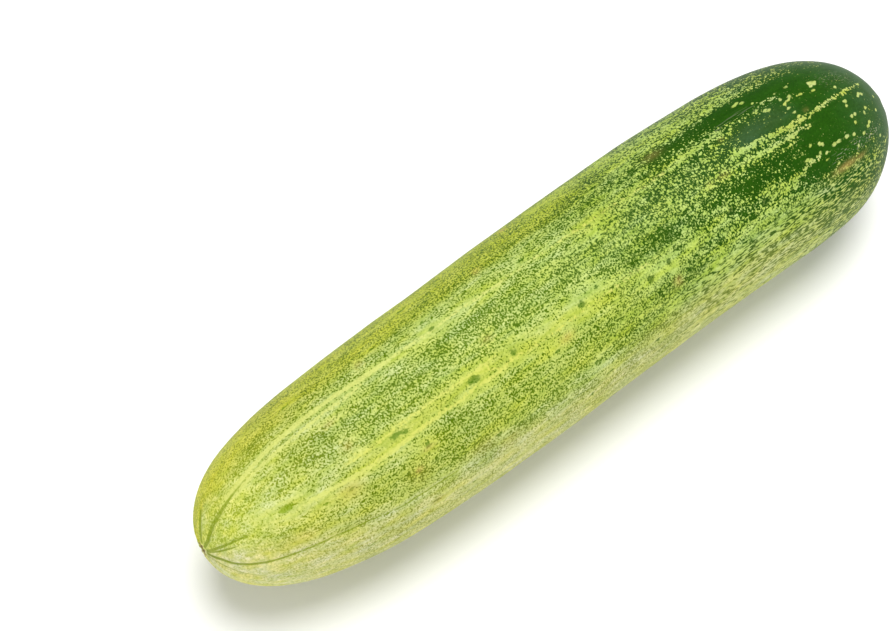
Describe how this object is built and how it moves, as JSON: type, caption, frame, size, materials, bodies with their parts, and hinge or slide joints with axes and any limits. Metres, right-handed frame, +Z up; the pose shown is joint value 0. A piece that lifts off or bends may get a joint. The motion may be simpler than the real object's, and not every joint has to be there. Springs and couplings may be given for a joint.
{
  "type": "cucumber",
  "caption": "Thick field cucumber, picked and lying on its side: a blunt cylinder with a tapered blossom end, a rounded stem end and a gentle S bend.",
  "frame": {"origin": "on the surface the fruit lies on, under the middle of its bounding box", "axes": "+X along the fruit towards the stem end, -X towards the blossom end; +Y to one side; +Z up"},
  "size_m": [0.2344, 0.0592, 0.0551],
  "materials": {
    "cucumber_skin": "waxy satin cucumber skin, speckled yellow-green over green, dark green at the stem end and pale underneath"
  },
  "bodies": {
    "root": {"cucumber": "cucumber_skin"}
  },
  "joints": []
}
